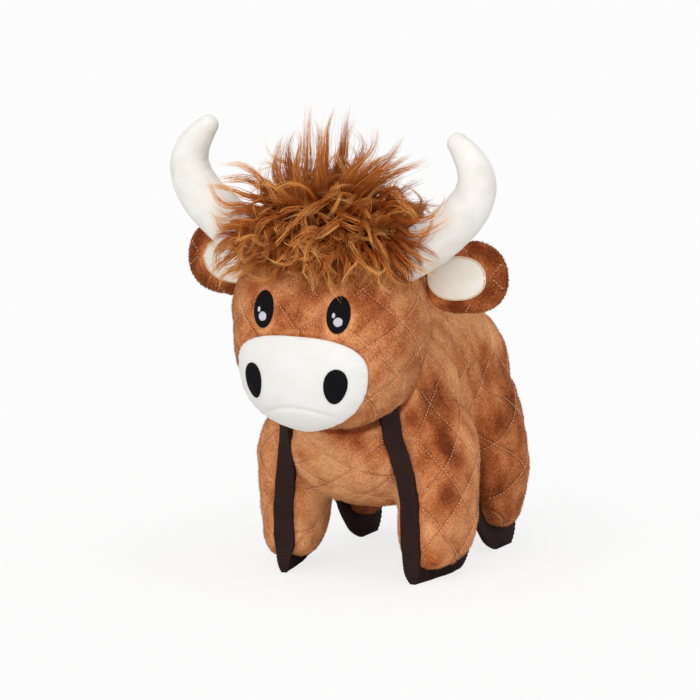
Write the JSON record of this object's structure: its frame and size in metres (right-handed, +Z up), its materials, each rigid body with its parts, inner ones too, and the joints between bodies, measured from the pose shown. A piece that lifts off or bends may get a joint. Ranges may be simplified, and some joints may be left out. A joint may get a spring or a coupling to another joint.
{
  "type": "plush cow",
  "caption": "Standing quilted plush highland cow with horns, floppy ears, a nodding head, taped seams, a long fur forelock and a lifting tail.",
  "frame": {"origin": "middle of the bounding box in X and Y, on the floor under the feet", "axes": "+Z is up, the cow faces -Y, and its left side is +X"},
  "size_m": [0.227, 0.2832, 0.3024],
  "materials": {
    "brown plush": "matte",
    "white flannel": "matte",
    "seam tape": "matte",
    "black embroidery": "satin",
    "forelock fur": "satin",
    "squeaker plastic": "matte"
  },
  "bodies": {
    "body": {"torso": "brown plush", "front_leg_left": "brown plush", "front_leg_right": "brown plush", "rear_leg_left": "brown plush", "rear_leg_right": "brown plush", "binding_front_left": "seam tape", "binding_front_right": "seam tape", "binding_belly_left": "seam tape", "binding_belly_right": "seam tape", "binding_rear_left": "seam tape", "binding_rear_right": "seam tape"},
    "head": {"head": "brown plush", "muzzle": "white flannel", "eye_left": "black embroidery", "eye_right": "black embroidery", "nostril_left": "black embroidery", "nostril_right": "black embroidery", "horn_left": "white flannel", "horn_right": "white flannel", "forelock": "forelock fur", "squeaker": "squeaker plastic"},
    "ear_left": {"ear_left": "brown plush", "ear_lining_left": "white flannel"},
    "ear_right": {"ear_right": "brown plush", "ear_lining_right": "white flannel"},
    "tail": {"tail": "brown plush", "tail_tuft": "forelock fur"}
  },
  "joints": [
    {"name": "head_nod", "type": "hinge", "parent": "body", "child": "head", "pos_m": [0, -0.04593, 0.14], "axis": [1, 0, 0], "range_deg": [-8, 8], "stiffness_Nm_per_rad": 8},
    {"name": "ear_left_flap", "type": "hinge", "parent": "head", "child": "ear_left", "pos_m": [0.05845, -0.05948, 0.20321], "axis": [-0.0876, -0.0001, 0.9962], "range_deg": [-10, 30], "stiffness_Nm_per_rad": 0.03},
    {"name": "ear_right_flap", "type": "hinge", "parent": "head", "child": "ear_right", "pos_m": [-0.05844, -0.05948, 0.20321], "axis": [-0.0876, 0.0001, -0.9962], "range_deg": [-10, 30], "stiffness_Nm_per_rad": 0.03},
    {"name": "tail_lift", "type": "hinge", "parent": "body", "child": "tail", "pos_m": [0, 0.10962, 0.1475], "axis": [1, 0, 0], "range_deg": [0, 70], "stiffness_Nm_per_rad": 0.05}
  ]
}
